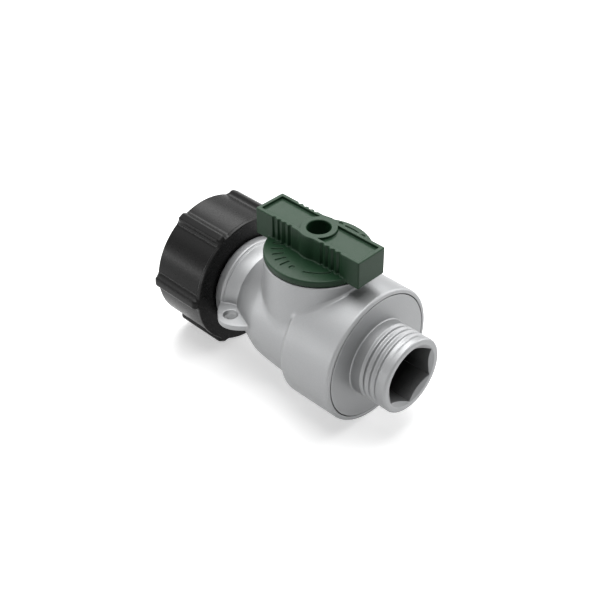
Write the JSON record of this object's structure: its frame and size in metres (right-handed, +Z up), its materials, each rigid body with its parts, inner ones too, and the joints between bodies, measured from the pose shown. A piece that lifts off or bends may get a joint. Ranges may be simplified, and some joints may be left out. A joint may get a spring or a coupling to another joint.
{
  "type": "hose shut-off connector",
  "caption": "Quarter-turn hose shut-off connector with a swivel nut inlet, a threaded male outlet, a ball inside and a lever handle on a round dial.",
  "frame": {"origin": "centre of the swivel nut's mouth, on the pipe axis", "axes": "+X along the flow, from the nut to the outlet; +Z up along the stem to the handle; -Y towards the tie eyelet"},
  "size_m": [0.0758, 0.04, 0.0486],
  "materials": {
    "cast_body": "satin blasted die casting",
    "cast_cap": "satin, turned",
    "seal_rubber": "matte",
    "washer_rubber": "matte",
    "ball_plating": "polished",
    "seat_plastic": "smooth",
    "stem_brass": "turned",
    "handle_plastic": "satin moulded",
    "screw_steel": "darkened",
    "ring_steel": "spring steel",
    "nut_plastic": "satin moulded"
  },
  "bodies": {
    "body": {"valve_body": "cast_body", "outlet_cap": "cast_cap", "cap_o_ring": "seal_rubber", "inlet_seat": "seat_plastic", "outlet_seat": "seat_plastic", "inlet_seat_cushion": "seal_rubber", "outlet_seat_cushion": "seal_rubber", "stem_thrust_washer": "seat_plastic", "nut_snap_ring": "ring_steel", "hose_washer": "washer_rubber"},
    "handle": {"handle": "handle_plastic", "stem": "stem_brass", "stem_o_ring_lower": "seal_rubber", "stem_o_ring_upper": "seal_rubber", "handle_screw": "screw_steel", "screw_lock_washer": "screw_steel"},
    "ball": {"ball": "ball_plating"},
    "nut": {"swivel_nut": "nut_plastic"}
  },
  "joints": [
    {"name": "handle_turn", "type": "hinge", "parent": "body", "child": "handle", "pos_m": [0.0437, 0, 0], "axis": [0, 0, 1], "range_deg": [-90, 0]},
    {"name": "ball_turn", "type": "hinge", "parent": "body", "child": "ball", "pos_m": [0.0437, 0, 0], "axis": [0, 0, 1], "range_deg": [-90, 0]},
    {"name": "nut_spin", "type": "hinge", "parent": "body", "child": "nut", "pos_m": [0.0087, 0, 0], "axis": [1, 0, 0], "continuous": true}
  ],
  "couplings": [
    {"joint": "ball_turn", "follows": "handle_turn", "ratio": 1}
  ]
}
